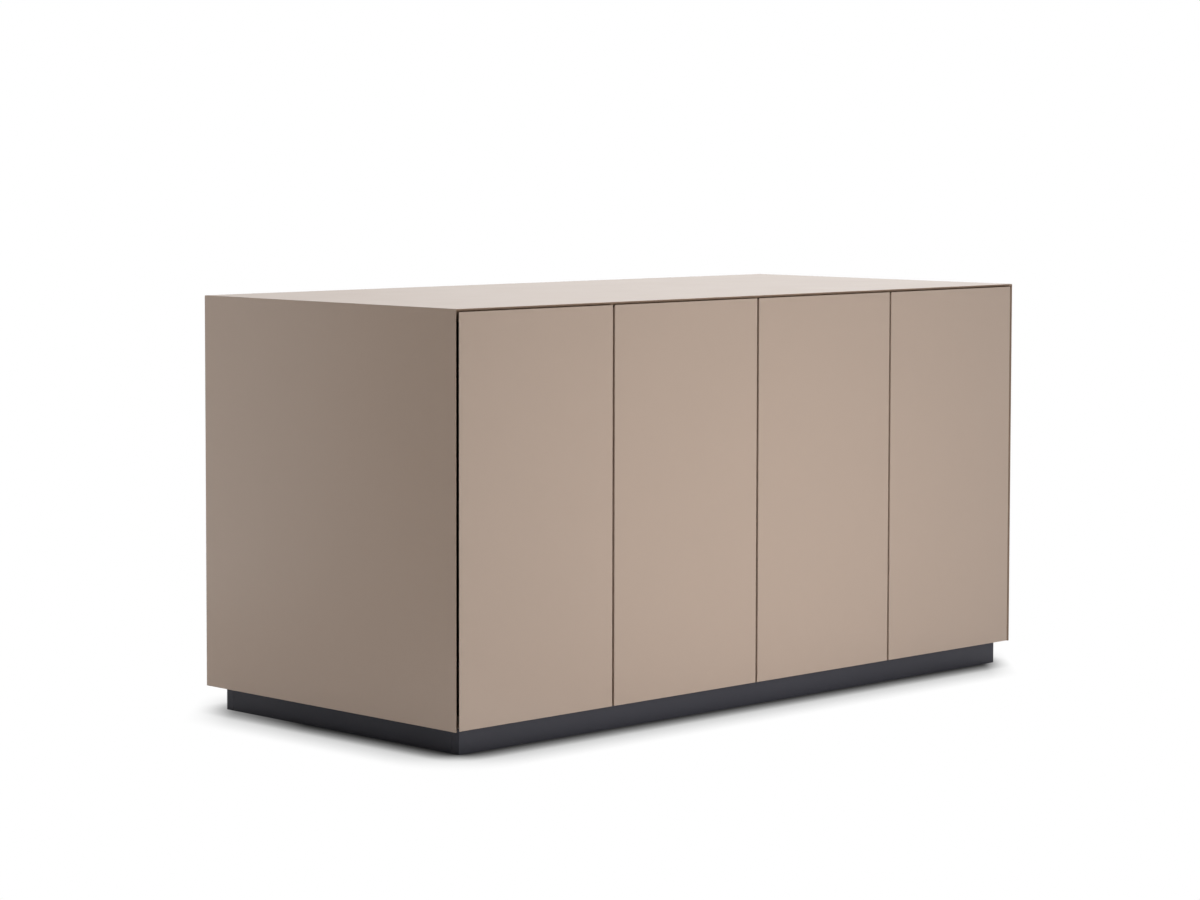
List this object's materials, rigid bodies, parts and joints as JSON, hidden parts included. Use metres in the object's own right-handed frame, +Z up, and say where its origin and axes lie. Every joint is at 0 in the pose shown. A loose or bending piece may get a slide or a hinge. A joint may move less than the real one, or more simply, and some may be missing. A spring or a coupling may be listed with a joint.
{
  "type": "office credenza",
  "caption": "Low handleless office credenza with a mitred lacquered carcass, push-open hinged doors, inner shelves and a recessed dark plinth.",
  "frame": {"origin": "on the floor, under the middle of the credenza's box", "axes": "+X to the right along the front, +Y to the back, +Z up; the doors face -Y"},
  "size_m": [1.44, 0.656, 0.732],
  "materials": {
    "lacquer": "matt lacquer",
    "inner": "matt lacquer",
    "plinth": "satin anthracite lacquer",
    "hinge_steel": "nickel plated",
    "latch_housing": "moulded",
    "latch_plunger": "moulded"
  },
  "bodies": {
    "carcass": {"top_panel": "lacquer", "bottom_panel": "lacquer", "left_side_panel": "lacquer", "right_side_panel": "lacquer", "back_panel": "lacquer", "centre_partition": "inner", "plinth_front_rail": "plinth", "plinth_back_rail": "plinth", "plinth_left_rail": "plinth", "plinth_right_rail": "plinth", "left_shelf": "inner", "right_shelf": "inner", "left_shelf_outer_bearer": "inner", "left_shelf_inner_bearer": "inner", "right_shelf_outer_bearer": "inner", "right_shelf_inner_bearer": "inner", "left_outer_upper_hinge_arm": "hinge_steel", "left_outer_lower_hinge_arm": "hinge_steel", "left_inner_upper_hinge_arm": "hinge_steel", "left_inner_lower_hinge_arm": "hinge_steel", "right_inner_upper_hinge_arm": "hinge_steel", "right_inner_lower_hinge_arm": "hinge_steel", "right_outer_upper_hinge_arm": "hinge_steel", "right_outer_lower_hinge_arm": "hinge_steel", "left_outer_latch_housing": "latch_housing", "left_inner_latch_housing": "latch_housing", "right_inner_latch_housing": "latch_housing", "right_outer_latch_housing": "latch_housing"},
    "left_outer_leaf": {"left_outer_door": "lacquer", "left_outer_upper_hinge_cup": "hinge_steel", "left_outer_lower_hinge_cup": "hinge_steel"},
    "left_outer_swing_links": {"left_outer_upper_hinge_swing_link": "hinge_steel", "left_outer_lower_hinge_swing_link": "hinge_steel"},
    "left_outer_carry_links": {"left_outer_upper_hinge_carry_link": "hinge_steel", "left_outer_lower_hinge_carry_link": "hinge_steel"},
    "left_outer_plunger": {"left_outer_latch_plunger": "latch_plunger"},
    "left_inner_leaf": {"left_inner_door": "lacquer", "left_inner_upper_hinge_cup": "hinge_steel", "left_inner_lower_hinge_cup": "hinge_steel"},
    "left_inner_swing_links": {"left_inner_upper_hinge_swing_link": "hinge_steel", "left_inner_lower_hinge_swing_link": "hinge_steel"},
    "left_inner_carry_links": {"left_inner_upper_hinge_carry_link": "hinge_steel", "left_inner_lower_hinge_carry_link": "hinge_steel"},
    "left_inner_plunger": {"left_inner_latch_plunger": "latch_plunger"},
    "right_inner_leaf": {"right_inner_door": "lacquer", "right_inner_upper_hinge_cup": "hinge_steel", "right_inner_lower_hinge_cup": "hinge_steel"},
    "right_inner_swing_links": {"right_inner_upper_hinge_swing_link": "hinge_steel", "right_inner_lower_hinge_swing_link": "hinge_steel"},
    "right_inner_carry_links": {"right_inner_upper_hinge_carry_link": "hinge_steel", "right_inner_lower_hinge_carry_link": "hinge_steel"},
    "right_inner_plunger": {"right_inner_latch_plunger": "latch_plunger"},
    "right_outer_leaf": {"right_outer_door": "lacquer", "right_outer_upper_hinge_cup": "hinge_steel", "right_outer_lower_hinge_cup": "hinge_steel"},
    "right_outer_swing_links": {"right_outer_upper_hinge_swing_link": "hinge_steel", "right_outer_lower_hinge_swing_link": "hinge_steel"},
    "right_outer_carry_links": {"right_outer_upper_hinge_carry_link": "hinge_steel", "right_outer_lower_hinge_carry_link": "hinge_steel"},
    "right_outer_plunger": {"right_outer_latch_plunger": "latch_plunger"}
  },
  "joints": [
    {"name": "left_outer_door_hinge", "type": "hinge", "parent": "carcass", "child": "left_outer_leaf", "pos_m": [-0.7138, -0.328, 0.387], "axis": [0, 0, -1], "range_deg": [0, 90]},
    {"name": "left_outer_swing_pivot", "type": "hinge", "parent": "carcass", "child": "left_outer_swing_links", "pos_m": [-0.6833, -0.2975, 0.387], "axis": [0, 0, -1], "range_deg": [0, 90]},
    {"name": "left_outer_carry_pivot", "type": "hinge", "parent": "left_outer_swing_links", "child": "left_outer_carry_links", "pos_m": [-0.6388, -0.2825, 0.387], "axis": [0, 0, -1], "range_deg": [-90, 0]},
    {"name": "left_outer_plunger_slide", "type": "slide", "parent": "carcass", "child": "left_outer_plunger", "axis": [0, -1, 0], "range_m": [0, 0.02]},
    {"name": "left_inner_door_hinge", "type": "hinge", "parent": "carcass", "child": "left_inner_leaf", "pos_m": [-0.0024, -0.328, 0.387], "axis": [0, 0, 1], "range_deg": [0, 90]},
    {"name": "left_inner_swing_pivot", "type": "hinge", "parent": "carcass", "child": "left_inner_swing_links", "pos_m": [-0.0329, -0.2975, 0.387], "axis": [0, 0, 1], "range_deg": [0, 90]},
    {"name": "left_inner_carry_pivot", "type": "hinge", "parent": "left_inner_swing_links", "child": "left_inner_carry_links", "pos_m": [-0.0774, -0.2825, 0.387], "axis": [0, 0, 1], "range_deg": [-90, 0]},
    {"name": "left_inner_plunger_slide", "type": "slide", "parent": "carcass", "child": "left_inner_plunger", "axis": [0, -1, 0], "range_m": [0, 0.02]},
    {"name": "right_inner_door_hinge", "type": "hinge", "parent": "carcass", "child": "right_inner_leaf", "pos_m": [0.0024, -0.328, 0.387], "axis": [0, 0, -1], "range_deg": [0, 90]},
    {"name": "right_inner_swing_pivot", "type": "hinge", "parent": "carcass", "child": "right_inner_swing_links", "pos_m": [0.0329, -0.2975, 0.387], "axis": [0, 0, -1], "range_deg": [0, 90]},
    {"name": "right_inner_carry_pivot", "type": "hinge", "parent": "right_inner_swing_links", "child": "right_inner_carry_links", "pos_m": [0.0774, -0.2825, 0.387], "axis": [0, 0, -1], "range_deg": [-90, 0]},
    {"name": "right_inner_plunger_slide", "type": "slide", "parent": "carcass", "child": "right_inner_plunger", "axis": [0, -1, 0], "range_m": [0, 0.02]},
    {"name": "right_outer_door_hinge", "type": "hinge", "parent": "carcass", "child": "right_outer_leaf", "pos_m": [0.7138, -0.328, 0.387], "axis": [0, 0, 1], "range_deg": [0, 90]},
    {"name": "right_outer_swing_pivot", "type": "hinge", "parent": "carcass", "child": "right_outer_swing_links", "pos_m": [0.6833, -0.2975, 0.387], "axis": [0, 0, 1], "range_deg": [0, 90]},
    {"name": "right_outer_carry_pivot", "type": "hinge", "parent": "right_outer_swing_links", "child": "right_outer_carry_links", "pos_m": [0.6388, -0.2825, 0.387], "axis": [0, 0, 1], "range_deg": [-90, 0]},
    {"name": "right_outer_plunger_slide", "type": "slide", "parent": "carcass", "child": "right_outer_plunger", "axis": [0, -1, 0], "range_m": [0, 0.02]}
  ],
  "couplings": [
    {"joint": "left_outer_swing_pivot", "follows": "left_outer_door_hinge", "ratio": 1},
    {"joint": "left_outer_carry_pivot", "follows": "left_outer_door_hinge", "ratio": -1},
    {"joint": "left_outer_plunger_slide", "follows": "left_outer_door_hinge", "m_per_rad": 0.0127},
    {"joint": "left_inner_swing_pivot", "follows": "left_inner_door_hinge", "ratio": 1},
    {"joint": "left_inner_carry_pivot", "follows": "left_inner_door_hinge", "ratio": -1},
    {"joint": "left_inner_plunger_slide", "follows": "left_inner_door_hinge", "m_per_rad": 0.0127},
    {"joint": "right_inner_swing_pivot", "follows": "right_inner_door_hinge", "ratio": 1},
    {"joint": "right_inner_carry_pivot", "follows": "right_inner_door_hinge", "ratio": -1},
    {"joint": "right_inner_plunger_slide", "follows": "right_inner_door_hinge", "m_per_rad": 0.0127},
    {"joint": "right_outer_swing_pivot", "follows": "right_outer_door_hinge", "ratio": 1},
    {"joint": "right_outer_carry_pivot", "follows": "right_outer_door_hinge", "ratio": -1},
    {"joint": "right_outer_plunger_slide", "follows": "right_outer_door_hinge", "m_per_rad": 0.0127}
  ]
}
